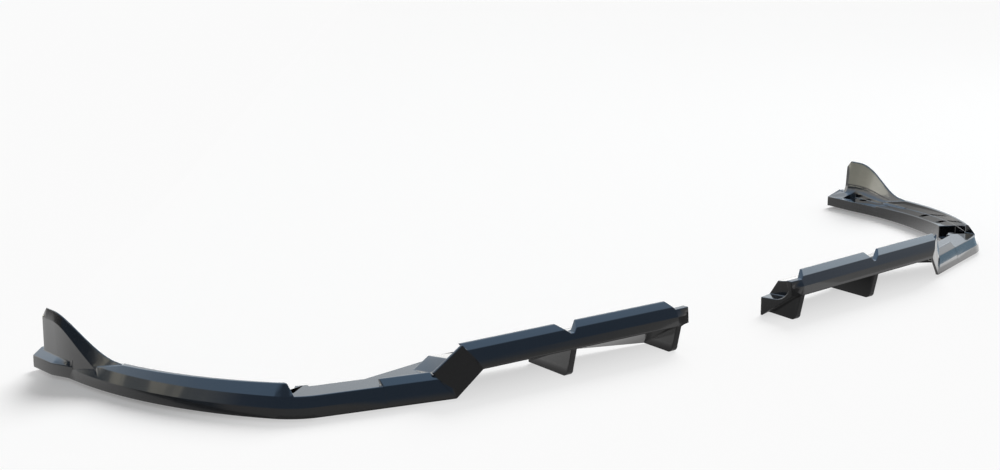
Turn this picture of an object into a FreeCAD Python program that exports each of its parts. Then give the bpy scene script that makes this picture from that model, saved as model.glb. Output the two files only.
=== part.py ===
import FreeCAD, Part

# Rear bumper splitter: two handed mouldings that follow the lower edge of a car's rear bumper.
# Millimetres. X runs across the car from its middle plane, Y forward, Z up from the ground plane.
# The right-hand moulding is modelled and the left-hand one is its mirror image.

import math
import os

import Sketcher
from FreeCAD import Placement, Rotation, Vector

SIZES = {
    # Outer edge in plan: a straight run from the ramp, a tight bend, a wide corner, the side arm
    "ramp_foot_x": 500,
    "lower_run": 180,
    "lower_heading": 16,
    "bend_radius": 97,
    "bend_heading": 52,
    "corner_radius": 546,
    "arm_heading": 89,
    "front_y": 474,
    # Rear face and the chamfer above it, measured square to the outer edge
    "face_rise": 26.5,
    "face_lean": 8.5,
    "chamfer_run": 9,
    "chamfer_rise": 7.5,
    "top_land": 4,
    "wall_foot": 5,
    # Raised bar across the middle and the ramp that brings it down
    "bar_height": 35,
    "bar_inner_x": 108,
    "bar_inner_y": -33,
    "bar_outer_y": -12,
    "ramp_run": 34,
    "mitre_angle": 35.4,
    "ridge_run": 90,
    "notch_x": 318,
    "notch_depth": 13,
    "notch_floor": 5,
    "notch_outer_run": 18,
    "notch_inner_run": 12,
    "tab_length": 24,
    "tab_drop": 11,
    "tab_slope_run": 11,
    "tab_inset": 6.5,
    # Shelf in front of the bar: its crest, its low end at the tab, and the upswept underside
    "shelf_rear": 11,
    "shelf_rise": 26,
    "shelf_sweep": 90,
    "crest_inner_depth": 53,
    "crest_outer_depth": 60,
    "crest_inner_rise": 12,
    "crest_outer_rise": 9.5,
    "tab_rise": 16,
    "tab_fillet": 30,
    "tab_fillet_run": 29,
    "tab_floor_drop": 9.5,
    "shelf_inner_depth": 66,
    "shelf_outer_depth": 112,
    "shelf_front_height_inner": 23.5,
    "shelf_front_height_outer": 27,
    "diffuser_flat": 3,
    "diffuser_start": 9,
    "fin_drop": 4.5,
    # Flange in front of the ramp and the lower run
    "flange_depth": 48,
    "flange_base": 19,
    "flange_ramp_depth": 88,
    "flange_lap": 18,
    "web_lap": 10,
    "web_crest_run": 34,
    "web_foot_run": 54,
    "web_inset": 9,
    # Corner lip, arm shelf and side winglet
    "crease_height": 13,
    "crease_lean": 2.5,
    "lip_height": 41,
    "lip_lean": 21,
    "lip_back": 24,
    "lip_arm_height": 35,
    "lip_arm_y": 300,
    "lip_end_y": 362,
    "lip_front_height": 12,
    "arm_width": 54,
    "arm_front_width": 47,
    "shelf_corner_y": 165,
    "shelf_middle_y": 300,
    "shelf_middle_height": 21.5,
    "shelf_front_height": 17.5,
    "tooth_run": 25,
    "gap_heading": 38,
    "gap_end_heading": 57,
    "gap_floor": 6,
    "winglet_nose_y": 463,
    "winglet_nose_drop": 11,
    "winglet_nose_inset": 3,
    "winglet_front_y": 454,
    "winglet_crown_y": 436,
    "winglet_foot_y": 310,
    "winglet_height": 84.5,
    "winglet_foot_height": 36,
    "winglet_tail_run": 14,
    "winglet_tail_sink": 6,
    "winglet_edge": 2.5,
    "winglet_root": 1,
    "winglet_crown_strip": 14,
    "winglet_foot_strip": 21,
    "winglet_crown_face": 0.5,
    "winglet_foot_face": 8,
    "winglet_crown_ridge": 3,
    "winglet_foot_ridge": 18.5,
    "winglet_crown_wall": 11.5,
    "winglet_foot_wall": 23.5,
    "winglet_crown_fillet": 24,
    "winglet_foot_fillet": 7,
    # Sloped toe and foot block at the front of the arm
    "toe_rear_y": 436,
    "toe_inset": 10,
    "toe_height": 26,
    "toe_edge_height": 17,
    "block_out": 10.5,
    "block_rear_y": 388,
    "block_shoulder_y": 424,
    "block_edge_height": 16.5,
    "block_top_height": 26,
    "block_top_sink": 3,
    # Fins under the bar
    "fin_thickness": 10,
    "fin_inner_x": 125,
    "fin_outer_x": 311,
    "fin_rake": 10,
    "fin_setback": 2,
    "fin_toe_rise": 2,
    "fin_corner": 9,
    # Fixing pocket with its screw hole, and two fixing slots
    "pocket_y": 395,
    "pocket_length": 92,
    "pocket_depth": 1,
    "pocket_rear_inset": 23,
    "pocket_front_inset": 15,
    "pocket_corner": 10,
    "screw_inset": 25,
    "screw_y": 405,
    "screw_hole": 7,
    "screw_sink": 13,
    "screw_sink_depth": 3,
    "slot_length": 24,
    "slot_width": 11,
    "slot_inset": 36,
    "slot_front_heading": 68,
    "slot_rear_heading": 61,
}

doc = FreeCAD.newDocument("rear_splitter")
sheet = doc.addObject("Spreadsheet::Sheet", "Sizes")
for row, (alias, value) in enumerate(SIZES.items(), start=1):
    sheet.set(f"A{row}", alias)
    sheet.set(f"B{row}", str(value))
    sheet.setAlias(f"B{row}", alias)
doc.recompute()


class Size:
    """A length worked out from the sheet: its number now and the expression that drives it."""

    def __init__(self, value, text):
        self.value = value
        self.text = text

    def __add__(self, other):
        other = as_size(other)
        return Size(self.value + other.value, f"({self.text} + {other.text})")

    def __sub__(self, other):
        other = as_size(other)
        return Size(self.value - other.value, f"({self.text} - {other.text})")

    def __mul__(self, other):
        other = as_size(other)
        return Size(self.value * other.value, f"({self.text} * {other.text})")

    def __truediv__(self, other):
        other = as_size(other)
        return Size(self.value / other.value, f"({self.text} / {other.text})")


def as_size(item):
    return item if isinstance(item, Size) else Size(float(item), str(item))


def size(alias):
    return Size(float(sheet.get(alias)), f"Sizes.{alias}")


def sine(angle):
    return Size(math.sin(math.radians(angle.value)), f"sin({angle.text} * 1 deg)")


def cosine(angle):
    return Size(math.cos(math.radians(angle.value)), f"cos({angle.text} * 1 deg)")


def tangent(angle):
    return Size(math.tan(math.radians(angle.value)), f"tan({angle.text} * 1 deg)")


def root(item):
    return Size(math.sqrt(item.value), f"sqrt({item.text})")


ZERO = as_size(0)
PLAN = Rotation()
SIDE = Rotation(Vector(0, 1, 0), Vector(0, 0, 1), Vector(1, 0, 0))
REAR = Rotation(Vector(1, 0, 0), Vector(0, 0, 1), Vector(0, -1, 0))


def arc_between(start, end, radius, turn):
    """Arc from start to end; turn is 1 to bend left on the way and -1 to bend right."""
    chord = end - start
    rise = math.sqrt(radius ** 2 - (chord.Length / 2) ** 2)
    across = Vector(-chord.y, chord.x, 0).normalize()
    centre = (start + end) / 2 + across * rise * turn
    first, last = (start, end) if turn > 0 else (end, start)
    begin = math.atan2(first.y - centre.y, first.x - centre.x)
    finish = math.atan2(last.y - centre.y, last.x - centre.x)
    circle = Part.Circle(centre, Vector(0, 0, 1), radius)
    return Part.ArcOfCircle(circle, begin, finish)


def outline(name, corners, rotation=PLAN, base=(ZERO, ZERO, ZERO)):
    """Closed sketch through corners (x, y), or (x, y, radius, turn) for one left on an arc."""
    sketch = doc.addObject("Sketcher::SketchObject", name)
    sketch.Placement = Placement(Vector(*(item.value for item in base)), rotation)
    for axis, item in zip("xyz", base):
        sketch.setExpression(f"Placement.Base.{axis}", item.text)
    places = [Vector(corner[0].value, corner[1].value, 0) for corner in corners]
    ends = []
    for index, corner in enumerate(corners):
        start = places[index]
        end = places[(index + 1) % len(places)]
        if len(corner) == 2:
            sketch.addGeometry(Part.LineSegment(start, end), False)
            ends.append((1, 2))
        else:
            radius, turn = corner[2], corner[3]
            sketch.addGeometry(arc_between(start, end, radius.value, turn), False)
            ends.append((1, 2) if turn > 0 else (2, 1))
            number = sketch.addConstraint(Sketcher.Constraint("Radius", index, radius.value))
            sketch.setExpression(f"Constraints[{number}]", radius.text)
    for index, corner in enumerate(corners):
        before = index - 1 if index else len(corners) - 1
        joint = Sketcher.Constraint("Coincident", before, ends[before][1], index, ends[index][0])
        sketch.addConstraint(joint)
        for kind, item in zip(("DistanceX", "DistanceY"), corner[:2]):
            place = Sketcher.Constraint(kind, -1, 1, index, ends[index][0], item.value)
            number = sketch.addConstraint(place)
            sketch.setExpression(f"Constraints[{number}]", item.text)
    return sketch


def prism(name, sketch, along, length, centred=False):
    """The sketch drawn out along a direction."""
    solid = doc.addObject("Part::Extrusion", name)
    solid.Base = sketch
    solid.DirMode = "Custom"
    solid.Dir = along
    solid.Solid = True
    solid.Symmetric = centred
    solid.setExpression("LengthFwd", length.text)
    return solid


def loft(name, sketches, ruled=True):
    """Solid through the sketches, corner to corner: straight between them, or in one smooth sweep."""
    solid = doc.addObject("Part::Loft", name)
    solid.Sections = sketches
    solid.Solid = True
    solid.Ruled = ruled
    solid.MaxDegree = 3
    return solid


def joined(name, shapes):
    whole = doc.addObject("Part::MultiFuse", name)
    whole.Shapes = shapes
    return whole


def shared(name, shapes):
    whole = doc.addObject("Part::MultiCommon", name)
    whole.Shapes = shapes
    return whole


def cut(name, base, tool):
    rest = doc.addObject("Part::Cut", name)
    rest.Base = base
    rest.Tool = tool
    return rest


# Outer edge in plan, and the lines that run beside it

lower = size("lower_heading")
bend = size("bend_heading")
arm = size("arm_heading")
front = size("front_y")
foot_x = size("ramp_foot_x")
bar_inner = size("bar_inner_x")
bar_outer = foot_x - size("ramp_run")
ridge_x = foot_x + size("ridge_run")
bend_x = foot_x + size("lower_run") * cosine(lower)
bend_y = size("lower_run") * sine(lower)
bend_centre_x = bend_x - size("bend_radius") * sine(lower)
bend_centre_y = bend_y + size("bend_radius") * cosine(lower)
step = size("bend_radius") - size("corner_radius")
corner_centre_x = bend_centre_x + step * sine(bend)
corner_centre_y = bend_centre_y - step * cosine(bend)


def beside_bend(inset, heading):
    reach = size("bend_radius") - inset
    return bend_centre_x + reach * sine(heading), bend_centre_y - reach * cosine(heading)


def beside_corner(inset, heading):
    reach = size("corner_radius") - inset
    return corner_centre_x + reach * sine(heading), corner_centre_y - reach * cosine(heading)


def front_end(inset, at_y):
    x, y = beside_corner(inset, arm)
    return x + (at_y - y) / tangent(arm), at_y


def outer_x(y):
    """Outer edge of the wide corner or of the straight arm in front of it, at a given Y."""
    if y.value > beside_corner(ZERO, arm)[1].value:
        return front_end(ZERO, y)[0]
    radius = size("corner_radius")
    across = y - corner_centre_y
    return corner_centre_x + root(radius * radius - across * across)


def band(name, height, near, far, front_far=None):
    """Strip in plan from the bend to the front of the arm, between two insets from the outer edge."""
    near_bend = size("bend_radius") - near
    near_corner = size("corner_radius") - near
    far_bend = size("bend_radius") - far
    far_corner = size("corner_radius") - far
    corners = [
        (*beside_bend(near, lower), near_bend, 1),
        (*beside_bend(near, bend), near_corner, 1),
        beside_corner(near, arm),
        front_end(near, front),
        front_end(front_far or far, front),
        (*beside_corner(far, arm), far_corner, -1),
        (*beside_bend(far, bend), far_bend, -1),
        beside_bend(far, lower),
    ]
    return outline(name, corners, PLAN, (ZERO, ZERO, height))


# Rail: the raised bar, the plain ramp and the chamfered start of the lower run, mitred into one another

rise = size("face_rise")
top = rise + size("chamfer_rise")
land_start = size("face_lean") + size("chamfer_run")
ramp_lean = size("face_lean") * top / rise
mitre = size("mitre_angle")
bar_z = size("bar_height")
bar_slope = (size("bar_outer_y") - size("bar_inner_y")) / (bar_outer - bar_inner)
lower_slope = tangent(lower)
rail_profile = [
    (ZERO, ZERO),
    (size("crease_lean"), size("crease_height")),
    (size("face_lean"), rise),
    (land_start, top),
    (land_start + size("top_land"), top),
    (size("wall_foot"), ZERO),
]
tab_profile = [
    (size("tab_inset"), ZERO),
    (size("tab_inset") + size("crease_lean") / 4, size("crease_height")),
    *rail_profile[2:5],
    (size("tab_inset") + size("wall_foot"), ZERO),
]
ramp_profile = [
    (ZERO, ZERO),
    (ramp_lean, top),
    (ramp_lean + size("top_land"), top),
    (size("wall_foot"), ZERO),
]


def rail_section(name, profile, place, slope, tilted):
    """Profile square to X, or on a plane that leans outwards by the mitre angle."""
    lean = tangent(mitre) if tilted else ZERO
    stretch = cosine(mitre) if tilted else as_size(1)
    corners = [(inset + height * lean * slope, height / stretch) for inset, height in profile]
    rotation = SIDE
    if tilted:
        rotation = Rotation(Vector(0, 1, 0), mitre.value).multiply(SIDE)
    return outline(name, corners, rotation, place)


tab_end = bar_inner + size("tab_length")
bar_start = (bar_inner, size("bar_inner_y"), bar_z)
tab_root = (tab_end, size("bar_inner_y") + size("tab_length") * bar_slope, bar_z)
bar_end = (bar_outer, size("bar_outer_y"), bar_z)
ramp_foot = (foot_x, ZERO, ZERO)
ridge = (ridge_x, size("ridge_run") * lower_slope, ZERO)
tab_rail = loft("tab_rail", [
    rail_section("tab_inner_end", tab_profile, bar_start, bar_slope, False),
    rail_section("tab_outer_end", rail_profile, tab_root, bar_slope, False),
])
bar_rail = loft("bar_rail", [
    rail_section("bar_inner_end", rail_profile, tab_root, bar_slope, False),
    rail_section("bar_mitre", rail_profile, bar_end, bar_slope, True),
])
ramp = loft("ramp", [
    rail_section("ramp_upper_mitre", ramp_profile, bar_end, bar_slope, True),
    rail_section("ramp_lower_mitre", ramp_profile, ramp_foot, lower_slope, True),
])
lower_rail = loft("lower_rail", [
    rail_section("lower_mitre", rail_profile, ramp_foot, lower_slope, True),
    rail_section("lower_ridge", rail_profile, ridge, lower_slope, False),
])

# Shelf in front of the bar: its underside sweeps up from the front edge to the bar


def bar_share(x):
    """How far along the bar a place is: 0 at its inner end and 1 where the ramp starts."""
    return (x - bar_inner) / (bar_outer - bar_inner)


def bar_rear(x):
    return size("bar_inner_y") + (x - bar_inner) * bar_slope


def along_bar(x, inner, outer):
    return inner + (outer - inner) * bar_share(x)


def shelf_depth(x):
    return along_bar(x, size("shelf_inner_depth"), size("shelf_outer_depth"))


def shelf_front(x):
    return along_bar(x, size("shelf_front_height_inner"), size("shelf_front_height_outer"))


def shelf_base(x):
    return along_bar(x, ZERO - size("fin_drop"), size("flange_base"))


def shelf_section(name, x, low):
    """Section of the shelf: with its crest, or low for the tab at the inner end."""
    depth = shelf_depth(x)
    if low:
        rear = (size("shelf_rear"), bar_z + size("tab_rise"), size("tab_fillet"), 1)
        ledge = (size("shelf_rear") + size("tab_fillet_run"), bar_z - size("tab_floor_drop"))
    else:
        crest_depth = along_bar(x, size("crest_inner_depth"), size("crest_outer_depth"))
        crest_rise = along_bar(x, size("crest_inner_rise"), size("crest_outer_rise"))
        rear = (size("shelf_rear"), bar_z + size("shelf_rise"), size("shelf_sweep"), 1)
        ledge = (crest_depth, bar_z + crest_rise)
    corners = [
        (size("diffuser_start"), bar_z),
        rear,
        ledge,
        (depth, shelf_front(x)),
        (depth, shelf_base(x)),
        (depth - size("diffuser_flat"), shelf_base(x)),
    ]
    return outline(name, corners, SIDE, (x, bar_rear(x), ZERO))


tab_shelf = loft("tab_shelf", [
    shelf_section("tab_shelf_inner", bar_inner, True),
    shelf_section("tab_shelf_outer", tab_end, True),
])
bar_shelf = loft("bar_shelf", [
    shelf_section("bar_shelf_inner", tab_end, False),
    shelf_section("bar_shelf_outer", bar_outer, False),
])

# Lower run: its rear wall, and the flange that carries on from the bar's shelf to the bend


def lower_section(name, height, inset):
    """Rear wall of the straight lower run, from the ramp to the bend."""
    start_y = inset / cosine(lower)
    back_y = (inset + size("wall_foot")) / cosine(lower)
    corners = [
        (foot_x, start_y),
        beside_bend(inset, lower),
        beside_bend(inset + size("wall_foot"), lower),
        (foot_x, back_y),
    ]
    return outline(name, corners, PLAN, (ZERO, ZERO, height))


lower_wall = loft("lower_wall", [
    lower_section("lower_bottom", ZERO, ZERO),
    lower_section("lower_crease", size("crease_height"), size("crease_lean")),
    lower_section("lower_top", rise, size("face_lean")),
])

flange_x = bar_outer - size("flange_lap")
flange_y = bar_rear(flange_x)
flange_back = size("flange_depth") / cosine(lower)
flange = prism("flange", outline("flange_plan", [
    (flange_x, flange_y + size("crest_outer_depth")),
    (foot_x, size("wall_foot") * 2),
    beside_bend(size("face_lean") + size("chamfer_run") / 3, lower),
    beside_bend(size("flange_depth"), lower),
    (ridge_x, ridge[1] + flange_back),
    (foot_x, size("flange_ramp_depth")),
    (flange_x, flange_y + size("shelf_outer_depth") - size("top_land")),
], PLAN, (ZERO, ZERO, size("flange_base"))), Vector(0, 0, 1), rise - size("flange_base"))

# Web behind the ramp: it carries the shelf's crest past the bar and down to the flange


def web_section(name, run, rear_low, rear_high, front_high, front_low):
    """Section of the web, a run outwards from the start of the ramp."""
    near = size("web_inset")
    far = size("crest_outer_depth")
    corners = [(near, rear_low), (near + size("top_land"), rear_high), (far, front_high), (far, front_low)]
    share = run / size("ramp_run")
    y = size("bar_outer_y") - size("bar_outer_y") * share
    return outline(name, corners, SIDE, (bar_outer + run, y, ZERO))


crest_z = bar_z + size("crest_outer_rise") - size("winglet_root")
web_base = size("flange_base") + size("winglet_root")
web = loft("ramp_web", [
    web_section("web_inner", ZERO - size("web_lap"), bar_z, bar_z + size("tab_rise"), crest_z, rise),
    web_section("web_crest", size("web_crest_run"), web_base, crest_z + size("crest_inner_rise") / 2,
                crest_z, web_base),
    web_section("web_foot", size("web_foot_run"), web_base, rise - size("winglet_root"),
                rise - size("winglet_root"), web_base),
])

# Corner: the arm shelf, falling towards the front, and the creased lip round its outside

shelf_side = outline("arm_shelf_side", [
    (ZERO, ZERO),
    (front, ZERO),
    (front, size("shelf_front_height")),
    (size("shelf_middle_y"), size("shelf_middle_height")),
    (size("shelf_corner_y"), rise),
    (ZERO, rise),
], SIDE)
half_width = foot_x * 2
arm_shelf = shared("arm_shelf", [
    prism("arm_shelf_band", band("arm_shelf_plan", ZERO, size("face_lean"), size("arm_width"),
                                 size("arm_front_width")), Vector(0, 0, 1), rise),
    prism("arm_shelf_fall", shelf_side, Vector(1, 0, 0), half_width),
])

lip_side = outline("lip_side", [
    (ZERO, ZERO),
    (front, ZERO),
    (front, size("lip_front_height")),
    (size("lip_end_y"), size("shelf_middle_height")),
    (size("lip_arm_y"), size("lip_arm_height")),
    (bend_y, size("lip_height")),
    (ZERO, size("lip_height")),
], SIDE)
lip = shared("lip", [
    loft("lip_band", [
        band("lip_foot", ZERO, ZERO, size("lip_back")),
        band("lip_crease", size("crease_height"), size("crease_lean"), size("lip_back")),
        band("lip_shoulder", rise, size("face_lean"), size("lip_back")),
        band("lip_top", size("lip_height"), size("lip_lean"), size("lip_back")),
    ]),
    prism("lip_fall", lip_side, Vector(1, 0, 0), half_width),
])

# Winglet: a wall on the arm that rises from the lip in an easy wave, with a sloped strip along its top

STATIONS = 6


def shelf_top(y):
    """Height of the arm shelf over its front stretch."""
    fall = (size("shelf_middle_height") - size("shelf_front_height")) / (front - size("shelf_middle_y"))
    return size("shelf_front_height") + (front - y) * fall


def winglet_section(name, y, share, sink=ZERO, nose=False):
    """Upright section; share is 1 on the crown and 0 at the foot of the wave."""

    def blend(at):
        crown, foot = size(f"winglet_crown_{at}"), size(f"winglet_foot_{at}")
        return foot + (crown - foot) * share

    edge_x = outer_x(y)
    high = size("winglet_foot_height") + (size("winglet_height") - size("winglet_foot_height")) * share - sink
    face = blend("face") + sink / 2
    ridge = blend("ridge")
    wall = blend("wall")
    fillet = blend("fillet")
    step_down = blend("strip")
    if nose:
        high = high - size("winglet_nose_drop")
        ridge = size("winglet_nose_inset")
        wall = ridge + size("winglet_edge") * 2
        step_down = step_down - size("winglet_nose_drop")
    floor = shelf_top(y) - size("winglet_root")
    corners = [
        (edge_x - face, size("winglet_edge")),
        (edge_x - face, high - step_down),
        (edge_x - ridge, high),
        (edge_x - ridge - size("winglet_edge"), high - size("winglet_edge") / 2),
        (edge_x - wall, floor + fillet, fillet, -1),
        (edge_x - wall - fillet, floor),
        (edge_x - wall - fillet, size("winglet_edge")),
    ]
    return outline(name, corners, REAR, (ZERO, y, ZERO))


wave = size("winglet_crown_y") - size("winglet_foot_y")
winglet_sections = [winglet_section("winglet_front", size("winglet_front_y"), as_size(1))]
for station in range(STATIONS + 1):
    share = (1 + math.cos(math.pi * station / STATIONS)) / 2
    place = size("winglet_crown_y") - wave * station / STATIONS
    winglet_sections.append(winglet_section(f"winglet_station_{station}", place, as_size(round(share, 4))))
winglet_sections.append(winglet_section("winglet_tail", size("winglet_foot_y") - size("winglet_tail_run"),
                                        ZERO, size("winglet_tail_sink")))
winglet = loft("winglet", winglet_sections, ruled=False)
winglet_nose = loft("winglet_nose", [
    winglet_section("winglet_nose_root", size("winglet_front_y"), as_size(1)),
    winglet_section("winglet_nose_tip", size("winglet_nose_y"), as_size(1), nose=True),
])

toe_front = front_end(ZERO, front)[0]
toe_run = front - size("toe_rear_y")
arm_toe = prism("arm_toe", outline("arm_toe_rear", [
    (toe_front - size("winglet_edge"), size("winglet_edge")),
    (toe_front - size("winglet_edge") * 2, size("lip_front_height") - size("winglet_root")),
    (toe_front - size("toe_inset"), size("toe_height")),
    (toe_front - size("arm_front_width"), size("toe_edge_height")),
    (toe_front - size("arm_front_width"), size("winglet_edge")),
], REAR, (ZERO, front, ZERO)), Vector(0, -1, 0), toe_run)


def block_section(name, height, out):
    wall_front, _ = front_end(ZERO, front)
    wall_rear, _ = front_end(ZERO, size("block_rear_y"))
    inside = size("lip_back") / 2
    corners = [
        (wall_front - inside, front),
        (wall_rear - inside, size("block_rear_y")),
        (wall_rear - size("block_top_sink"), size("block_rear_y")),
        (wall_rear + out, size("block_shoulder_y")),
        (wall_front + out, front),
    ]
    return outline(name, corners, PLAN, (ZERO, ZERO, height))


foot_block = loft("foot_block", [
    block_section("block_foot", ZERO, size("block_out")),
    block_section("block_edge", size("block_edge_height"), size("block_out")),
    block_section("block_top", size("block_top_height"), ZERO - size("block_top_sink")),
])

# Fins below the bar, raked forwards, with a rounded rear corner


def fin(name, x):
    rake = size("fin_rake")
    corner = size("fin_corner")
    foot = ZERO - size("fin_drop")
    length = shelf_depth(x) - size("fin_setback")
    corners = [
        (size("fin_setback"), bar_z + size("fin_setback")),
        (rake, foot + corner, corner, 1),
        (rake + corner, foot),
        (length, foot + size("fin_toe_rise")),
        (length, (shelf_base(x) + shelf_front(x)) / 2),
        (size("shelf_rear"), bar_z + size("fin_setback")),
    ]
    sketch = outline(f"{name}_side", corners, SIDE, (x, bar_rear(x), ZERO))
    return prism(name, sketch, Vector(1, 0, 0), size("fin_thickness"))


fins = [fin("inner_fin", size("fin_inner_x")), fin("outer_fin", size("fin_outer_x"))]

# Cuts: notch between the bar's two lengths, step down to the end tab, end of the lip, hollow, fixings

reach = size("arm_width") * 4
above = bar_z + top + size("top_land")
floor_z = bar_z + top - size("notch_depth")
flare = (above - floor_z) / size("notch_depth")
bar_notch = prism("bar_notch", outline("bar_notch_rear", [
    (size("notch_x") - size("notch_floor"), floor_z),
    (size("notch_x"), floor_z),
    (size("notch_x") + size("notch_outer_run") * flare, above),
    (size("notch_x") - size("notch_floor") - size("notch_inner_run") * flare, above),
], REAR), Vector(0, 1, 0), reach, True)

tab_z = bar_z + top - size("tab_drop")
tab_step = prism("tab_step", outline("tab_step_rear", [
    (ZERO, tab_z),
    (tab_end, tab_z),
    (tab_end + size("tab_slope_run") * (above - tab_z) / size("tab_drop"), above),
    (ZERO, above),
], REAR), Vector(0, 1, 0), reach, True)

tooth_end = prism("tooth_end", outline("tooth_end_rear", [
    (ridge_x + size("top_land"), rise),
    (bend_x + size("tooth_run"), rise),
    (bend_x + size("tooth_run"), above),
    (ridge_x + size("top_land"), above),
], REAR), Vector(0, 1, 0), reach * 2, True)

gap_far = size("arm_width") + size("top_land")
hollow = prism("corner_hollow", outline("corner_hollow_plan", [
    beside_bend(size("lip_back"), size("gap_heading")),
    beside_bend(size("lip_back"), bend),
    beside_corner(size("lip_back"), size("gap_end_heading")),
    beside_corner(gap_far, size("gap_end_heading")),
    beside_bend(gap_far, bend),
    beside_bend(gap_far, size("gap_heading")),
], PLAN, (ZERO, ZERO, size("gap_floor"))), Vector(0, 0, 1), rise)

pocket_rear = size("pocket_y") - size("pocket_length") / 2
pocket_front = size("pocket_y") + size("pocket_length") / 2
rear_wall = outer_x(pocket_rear) - size("pocket_rear_inset")
front_wall = outer_x(pocket_front) - size("pocket_front_inset")
pocket_inner = rear_wall - size("arm_width")
pocket_floor = shelf_top(size("pocket_y")) - size("pocket_depth")
rounding = size("pocket_corner")
pocket = prism("fixing_pocket", outline("fixing_pocket_plan", [
    (pocket_inner, pocket_rear),
    (rear_wall - rounding, pocket_rear, rounding, 1),
    (rear_wall, pocket_rear + rounding),
    (front_wall, pocket_front - rounding, rounding, 1),
    (front_wall - rounding, pocket_front),
    (pocket_inner, pocket_front),
], PLAN, (ZERO, ZERO, pocket_floor)), Vector(0, 0, 1), size("lip_height"))

screw_x = outer_x(size("screw_y")) - size("screw_inset")
screw = doc.addObject("Part::Cylinder", "screw_hole")
screw.setExpression("Radius", "Sizes.screw_hole / 2")
screw.setExpression("Height", rise.text)
countersink = doc.addObject("Part::Cone", "screw_countersink")
countersink.setExpression("Radius1", "Sizes.screw_hole / 2")
countersink.setExpression("Radius2", "Sizes.screw_sink / 2")
countersink.setExpression("Height", "Sizes.screw_sink_depth")
countersink.setExpression("Placement.Base.z", (pocket_floor - size("screw_sink_depth")).text)
for bore in (screw, countersink):
    bore.setExpression("Placement.Base.x", screw_x.text)
    bore.setExpression("Placement.Base.y", "Sizes.screw_y")


def fixing_slot(name, x, y):
    half = size("slot_length") / 2
    radius = size("slot_width") / 2
    straight = half - radius
    corners = [
        (x - straight, y - radius),
        (x + straight, y - radius, radius, 1),
        (x + half, y, radius, 1),
        (x + straight, y + radius),
        (x - straight, y + radius, radius, 1),
        (x - half, y, radius, 1),
    ]
    return prism(name, outline(f"{name}_plan", corners), Vector(0, 0, 1), size("lip_height"))


slots = [
    fixing_slot("front_slot", *beside_corner(size("slot_inset"), size("slot_front_heading"))),
    fixing_slot("rear_slot", *beside_corner(size("slot_inset"), size("slot_rear_heading"))),
]

# Whole mouldings, moved so that the pair stands centred over the origin

body = joined("moulding", [tab_rail, bar_rail, ramp, lower_rail, tab_shelf, bar_shelf, lower_wall, flange,
                           web, arm_shelf, lip, winglet, winglet_nose, arm_toe, foot_block, *fins])
tools = joined("cuts", [bar_notch, tab_step, tooth_end, hollow, pocket, screw, countersink, *slots])
right = cut("right_splitter_half", body, tools)
middle_y = (front + tab_root[1]) / 2
right.setExpression("Placement.Base.y", f"-{middle_y.text}")
right.setExpression("Placement.Base.z", "Sizes.fin_drop")

left = doc.addObject("Part::Mirroring", "left_splitter_half")
left.Source = right
left.Normal = Vector(1, 0, 0)

doc.recompute()

for item in doc.Objects:
    if "Invalid" in item.State or "Error" in item.State:
        raise RuntimeError(f"{item.Name} did not build: {item.State}")

os.makedirs("parts", exist_ok=True)
for half in (left, right):
    half.Label = half.Name
    if half.Shape.isNull() or not half.Shape.isValid() or len(half.Shape.Solids) != 1:
        raise RuntimeError(f"{half.Name} is not one sound solid")
    half.Shape.exportStep(f"parts/{half.Label}.step")
    box = half.Shape.BoundBox
    print(half.Label, round(half.Shape.Volume), box)
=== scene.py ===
import math

import bmesh
import bpy
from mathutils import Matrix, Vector
from mathutils.bvhtree import BVHTree


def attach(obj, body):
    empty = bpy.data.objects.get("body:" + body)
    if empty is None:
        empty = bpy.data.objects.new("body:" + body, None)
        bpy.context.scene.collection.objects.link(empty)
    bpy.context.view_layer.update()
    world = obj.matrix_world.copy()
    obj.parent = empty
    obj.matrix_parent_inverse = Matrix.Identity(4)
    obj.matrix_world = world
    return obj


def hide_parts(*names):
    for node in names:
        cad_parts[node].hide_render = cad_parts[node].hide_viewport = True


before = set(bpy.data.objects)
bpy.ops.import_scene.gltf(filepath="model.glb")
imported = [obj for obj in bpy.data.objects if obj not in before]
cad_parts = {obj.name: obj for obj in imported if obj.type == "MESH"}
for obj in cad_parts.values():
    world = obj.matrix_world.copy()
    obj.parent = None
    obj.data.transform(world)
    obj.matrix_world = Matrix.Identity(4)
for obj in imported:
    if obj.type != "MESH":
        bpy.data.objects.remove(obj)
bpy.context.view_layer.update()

# Rounded corners of the mouldings, in metres

EDGE_RADIUS = 0.001
EDGE_SEGMENTS = 2
SHARPEST_KEPT = math.radians(24)
SHORTEST_ROUNDED = 0.0025
MERGE_DISTANCE = 0.00002
FLAT_ENOUGH = math.radians(0.8)
STRAY_LIMIT = EDGE_RADIUS * 0.75

# Gloss black plastic

PLASTIC_IOR = 1.5
COAT_ROUGHNESS = 0.04
POLISH_BEST = 0.12
POLISH_WORST = 0.20
BLACK_DEEP = (0.008, 0.009, 0.011)
BLACK_WORN = (0.016, 0.017, 0.020)

# Floor: how white it looks, how much of that the lamps give, and how much of their light it sends back

FLOOR_SIZE = 60
FLOOR_WHITE = 0.96
FLOOR_LIT = 0.74
FLOOR_ALBEDO = 0.86

# Studio that the gloss mirrors, by side

BEHIND_LOW = (0.33, 0.328, 0.325)
BEHIND_HIGH = (0.14, 0.21, 0.315)
FRONT_LOW = (1.5, 1.5, 1.48)
FRONT_HIGH = (1.0, 1.25, 1.55)
OVERHEAD = (0.58, 0.9, 1.32)
STREAK_DIM = (0.42, 0.47, 0.5)
STREAK_BRIGHT = (1.5, 1.45, 1.25)
STREAK_STRETCH = (9, 9, 1)
LEFT_DARK = (0.08, 0.115, 0.16)
RIGHT_LOW = (0.35, 0.51, 0.65)
FRONT_RIGHT = (0.72, 0.78, 0.84)
AMBIENT = (0.25, 0.25, 0.25)

# Directions in plan

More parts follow.
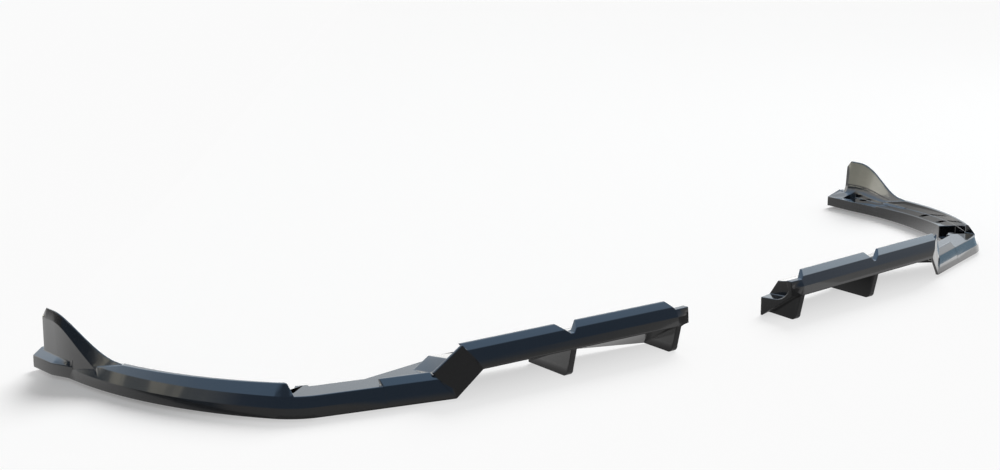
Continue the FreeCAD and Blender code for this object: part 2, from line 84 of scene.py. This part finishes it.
TO_FRONT = (math.sin(math.radians(15)), math.cos(math.radians(15)), 0)
TO_FRONT_RIGHT = (0.731, 0.682, 0)
TO_VIEW_RIGHT = (0.766, -0.643, 0)
SUN_HEADING = (-0.70, -0.43, -0.57)

# Camera fitted to the photograph

CAMERA_PLACE = (-1.8331, -1.8933, 0.7045)
CAMERA_TILT = math.radians(77.17)
CAMERA_TURN = math.radians(-40.02)
CAMERA_LENS = 63.58


class Nodes:
    """Short forms for wiring a node tree. Each form returns the output that carries its result."""

    def __init__(self, tree):
        self.tree = tree

    def feed(self, socket, value):
        """Give a socket a fixed value or another node's output."""
        if isinstance(value, bpy.types.NodeSocket):
            self.tree.links.new(value, socket)
        else:
            socket.default_value = value

    def add(self, kind, **sockets):
        node = self.tree.nodes.new(kind)
        for name, value in sockets.items():
            self.feed(node.inputs[name.replace("_", " ")], value)
        return node

    def math(self, operation, first, second):
        node = self.tree.nodes.new("ShaderNodeMath")
        node.operation = operation
        self.feed(node.inputs[0], first)
        self.feed(node.inputs[1], second)
        return node.outputs["Value"]

    def vector(self, operation, first, second):
        node = self.tree.nodes.new("ShaderNodeVectorMath")
        node.operation = operation
        self.feed(node.inputs[0], first)
        self.feed(node.inputs[1], second)
        return node

    def along(self, place, direction):
        """How far a place lies along a direction."""
        return self.vector("DOT_PRODUCT", place, direction).outputs["Value"]

    def fade(self, source, low, high, to_low=0.0, to_high=1.0):
        """A smooth step from to_low to to_high as the source goes from low to high."""
        node = self.add("ShaderNodeMapRange", Value=source, From_Min=low, From_Max=high,
                        To_Min=to_low, To_Max=to_high)
        node.interpolation_type = "SMOOTHSTEP"
        return node.outputs["Result"]

    def both(self, first, second):
        """Where two fades overlap."""
        return self.math("MULTIPLY", first, second)

    def mix(self, factor, first, second):
        """Blend of two colours; each is an RGB triple or another node's output."""
        node = self.tree.nodes.new("ShaderNodeMix")
        node.data_type = "RGBA"
        self.feed(node.inputs["Factor"], factor)
        slots = [socket for socket in node.inputs if socket.type == "RGBA"]
        for slot, colour in zip(slots, (first, second)):
            self.feed(slot, (*colour, 1) if isinstance(colour, tuple) else colour)
        return [socket for socket in node.outputs if socket.type == "RGBA"][0]

    def noise(self, place, scale, detail):
        return self.add("ShaderNodeTexNoise", Vector=place, Scale=scale, Detail=detail).outputs["Fac"]


def placed(name, data):
    """New object in the scene."""
    thing = bpy.data.objects.new(name, data)
    bpy.context.collection.objects.link(thing)
    return thing


def facing(direction):
    """Rotation that points a lamp along a direction."""
    return Vector(direction).to_track_quat("-Z", "Y").to_euler()


# Mouldings


def gloss_black():
    """Gloss black moulded plastic: a hard clear skin over black, with a faint ripple and uneven polish."""
    material = bpy.data.materials.new("gloss_black_plastic")
    material.use_nodes = True
    kit = Nodes(material.node_tree)
    shader = material.node_tree.nodes["Principled BSDF"]
    place = kit.add("ShaderNodeTexCoord").outputs["Object"]
    polish = kit.fade(kit.noise(place, 9.0, 4.0), 0.3, 0.7, POLISH_BEST, POLISH_WORST)
    tint = kit.mix(kit.noise(place, 26.0, 5.0), BLACK_DEEP, BLACK_WORN)
    ripple = kit.add("ShaderNodeBump", Strength=0.05, Distance=0.0006, Height=kit.noise(place, 120.0, 2.0))
    kit.feed(shader.inputs["IOR"], PLASTIC_IOR)
    kit.feed(shader.inputs["Coat Weight"], 1.0)
    kit.feed(shader.inputs["Coat Roughness"], COAT_ROUGHNESS)
    kit.feed(shader.inputs["Coat IOR"], PLASTIC_IOR)
    kit.feed(shader.inputs["Roughness"], polish)
    kit.feed(shader.inputs["Base Color"], tint)
    kit.feed(shader.inputs["Normal"], ripple.outputs["Normal"])
    return material


def rounded_form(source):
    """Copy of a CAD mesh with its sharp corners rounded off a little, as a mould leaves them."""
    form = bmesh.new()
    form.from_mesh(source)
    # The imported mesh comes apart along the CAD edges, so its open edges are the creases to keep
    for edge in form.edges:
        edge.smooth = not edge.is_boundary
    bmesh.ops.remove_doubles(form, verts=form.verts, dist=MERGE_DISTANCE)
    bmesh.ops.dissolve_limit(form, angle_limit=FLAT_ENOUGH, use_dissolve_boundaries=False,
                             verts=form.verts, edges=form.edges, delimit={"SHARP"})
    surface = BVHTree.FromBMesh(form)
    corners = [edge for edge in form.edges if not edge.smooth and edge.calc_length() > SHORTEST_ROUNDED
               and edge.calc_face_angle(0) > SHARPEST_KEPT]
    made = bmesh.ops.bevel(form, geom=corners, offset=EDGE_RADIUS, offset_type="OFFSET",
                           segments=EDGE_SEGMENTS, profile=0.5, affect="EDGES",
                           clamp_overlap=False, loop_slide=True)
    for face in made["faces"]:
        for edge in face.edges:
            edge.smooth = True
    # Where three roundings crowd together a point can shoot out: it goes back to the CAD surface
    for corner in form.verts:
        nearest, _, _, stray = surface.find_nearest(corner.co)
        if stray > STRAY_LIMIT:
            corner.co = nearest
    for face in form.faces:
        face.smooth = True
    return form


def moulding(name, node, material):
    """Finished moulding that stands in for a CAD node."""
    mesh = bpy.data.meshes.new(f"{name}_moulded")
    form = rounded_form(node.data)
    form.to_mesh(mesh)
    form.free()
    mesh.materials.append(material)
    piece = placed(f"{name}_moulded", mesh)
    shading = piece.modifiers.new("even_shading", "WEIGHTED_NORMAL")
    shading.keep_sharp = True
    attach(piece, "root")
    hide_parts(name)


# Studio


def mirrored_floor(kit, place, x, y):
    """Brightness of the floor in the gloss: white at the front, falling off behind and to the far left."""
    lit = kit.fade(kit.along(place, TO_FRONT), -0.5, 0.4, 0.2, 1.0)
    middle = kit.fade(x, -0.5, 0.1, 1.0, 0.5)
    right = kit.fade(x, 0.8, 1.0)
    far_left = kit.fade(x, -1.5, -1.1, 0.1, 1.0)
    level = kit.math("MULTIPLY", kit.math("ADD", middle, right), far_left)
    level = kit.math("MULTIPLY", level, lit)
    pool_by_right_bend = kit.both(kit.fade(x, 0.5, 0.62), kit.fade(y, 0.17, -0.05, 0.0, 0.52))
    return kit.math("ADD", level, pool_by_right_bend)


def shadow_depth(kit, place, y):
    """Depth of the floor's shadows: full beside the arms, faint under the bars and off to the left."""
    return kit.both(kit.fade(y, -0.3, 0.05, 0.25, 1.0),
                    kit.fade(kit.along(place, TO_VIEW_RIGHT), -0.87, -0.77, 0.15, 1.0))


def studio_floor():
    """White floor that takes soft shadows; the gloss mirrors a graded glow instead of its lit surface."""
    bpy.ops.mesh.primitive_plane_add(size=FLOOR_SIZE, location=(0, 0, 0))
    floor = bpy.context.object
    floor.name = "floor"
    sheet = bpy.data.materials.new("studio_floor")
    sheet.use_nodes = True
    sheet.node_tree.nodes.remove(sheet.node_tree.nodes["Principled BSDF"])
    kit = Nodes(sheet.node_tree)
    place = kit.add("ShaderNodeTexCoord").outputs["Object"]
    axes = kit.add("ShaderNodeSeparateXYZ", Vector=place).outputs
    rays = kit.add("ShaderNodeLightPath").outputs
    depth = shadow_depth(kit, place, axes["Y"])
    seen_glow = kit.math("SUBTRACT", FLOOR_WHITE, kit.math("MULTIPLY", depth, FLOOR_LIT))
    seen_glow = kit.math("MULTIPLY", rays["Is Camera Ray"], seen_glow)
    mirrored_glow = mirrored_floor(kit, place, axes["X"], axes["Y"])
    mirrored_glow = kit.math("MULTIPLY", rays["Is Glossy Ray"], mirrored_glow)
    glow = kit.add("ShaderNodeEmission", Color=(1, 1, 1, 1),
                   Strength=kit.math("ADD", seen_glow, mirrored_glow))
    matt = kit.add("ShaderNodeBsdfDiffuse", Color=kit.math("MULTIPLY", depth, FLOOR_ALBEDO))
    unmirrored = kit.add("ShaderNodeMixShader", Fac=kit.math("SUBTRACT", 1.0, rays["Is Glossy Ray"]))
    kit.feed(unmirrored.inputs[2], matt.outputs["BSDF"])
    surface = kit.add("ShaderNodeAddShader")
    kit.feed(surface.inputs[0], glow.outputs["Emission"])
    kit.feed(surface.inputs[1], unmirrored.outputs["Shader"])
    kit.feed(sheet.node_tree.nodes["Material Output"].inputs["Surface"], surface.outputs["Shader"])
    floor.data.materials.append(sheet)
    return floor


def mirrored_studio(kit, place):
    """Dome that the gloss mirrors: pale in front, dim behind, blue overhead, with patches on both sides."""
    x, y, up = kit.add("ShaderNodeSeparateXYZ", Vector=place).outputs
    dim = kit.mix(kit.fade(up, 0.02, 0.22), BEHIND_LOW, BEHIND_HIGH)
    pale = kit.mix(kit.fade(up, 0.3, 0.6), FRONT_LOW, FRONT_HIGH)
    ring = kit.mix(kit.fade(kit.along(place, TO_FRONT), -0.6, 0.8), dim, pale)
    dome = kit.mix(kit.fade(up, 0.55, 0.9), ring, OVERHEAD)

    # Streaked light along the left, with a dark strip under it that rises towards the side
    stretched = kit.vector("MULTIPLY", place, STREAK_STRETCH).outputs["Vector"]
    streaks = kit.mix(kit.fade(kit.noise(stretched, 1.0, 3.0), 0.4, 0.6), STREAK_DIM, STREAK_BRIGHT)
    left = kit.fade(x, -0.55, -0.72)
    dome = kit.mix(kit.both(left, kit.fade(up, 0.46, 0.36)), dome, streaks)
    dome = kit.mix(kit.both(left, kit.fade(up, 0.28, 0.18)), dome, LEFT_DARK)
    dome = kit.mix(kit.both(kit.fade(x, -0.86, -0.92), kit.fade(up, 0.37, 0.31)), dome, LEFT_DARK)

    # Dim corner behind on the left, bluish light low on the right, and a greyer stretch at the front right
    dome = kit.mix(kit.both(kit.fade(x, -0.2, -0.4), kit.fade(y, 0.0, -0.12)), dome, dim)
    dome = kit.mix(kit.both(kit.fade(x, 0.9, 0.97), kit.fade(up, 0.22, 0.12)), dome, RIGHT_LOW)
    front_right = kit.fade(kit.along(place, TO_FRONT_RIGHT), 0.75, 0.88)
    return kit.mix(kit.both(front_right, kit.fade(up, 0.08, 0.16)), dome, FRONT_RIGHT)


def studio_world():
    """Even grey light on everything, and the studio's dome in the gloss."""
    world = bpy.data.worlds.new("studio")
    bpy.context.scene.world = world
    world.use_nodes = True
    kit = Nodes(world.node_tree)
    sky = world.node_tree.nodes["Background"]
    place = kit.add("ShaderNodeTexCoord").outputs["Generated"]
    rays = kit.add("ShaderNodeLightPath").outputs
    kit.feed(sky.inputs["Color"], kit.mix(rays["Is Glossy Ray"], AMBIENT, mirrored_studio(kit, place)))
    kit.feed(sky.inputs["Strength"], 1.0)


def softbox(name, place, target, width, height, colour, radiance):
    """Rectangular lamp of a given brightness, hidden from the camera."""
    lamp = bpy.data.lights.new(name, "AREA")
    lamp.shape = "RECTANGLE"
    lamp.size = width
    lamp.size_y = height
    lamp.color = colour
    lamp.energy = radiance * math.pi * width * height
    box = placed(name, lamp)
    box.location = place
    box.rotation_euler = facing(Vector(target) - Vector(place))
    box.visible_camera = False


def broad_sun():
    """Broad low sun from the front right that lays the soft shadows beside the arms."""
    lamp = bpy.data.lights.new("front_light", "SUN")
    lamp.energy = 3.3
    lamp.angle = math.radians(35)
    sun = placed("front_light", lamp)
    sun.rotation_euler = facing(SUN_HEADING)
    sun.visible_glossy = False


def photo_camera():
    camera = bpy.data.cameras.new("camera")
    camera.lens = CAMERA_LENS
    camera.sensor_width = 36
    camera.sensor_fit = "HORIZONTAL"
    camera.clip_end = 100
    eye = placed("camera", camera)
    eye.location = CAMERA_PLACE
    eye.rotation_euler = (CAMERA_TILT, 0, CAMERA_TURN)
    return eye


black = gloss_black()
for name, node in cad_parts.items():
    moulding(name, node, black)

floor = studio_floor()
studio_world()
softbox("warm_card", place=(-1.76, 3.2, 0.17), target=(0.83, 0.2, 0.06), width=1.35, height=0.36,
        colour=(1.0, 0.97, 0.78), radiance=2.1)
softbox("right_card", place=(2.85, -0.4, 1.75), target=(0.4, -0.2, 0.05), width=1.6, height=0.9,
        colour=(0.85, 0.95, 1.0), radiance=1.1)
broad_sun()
bpy.context.scene.camera = photo_camera()
bpy.context.scene.view_settings.view_transform = "Standard"
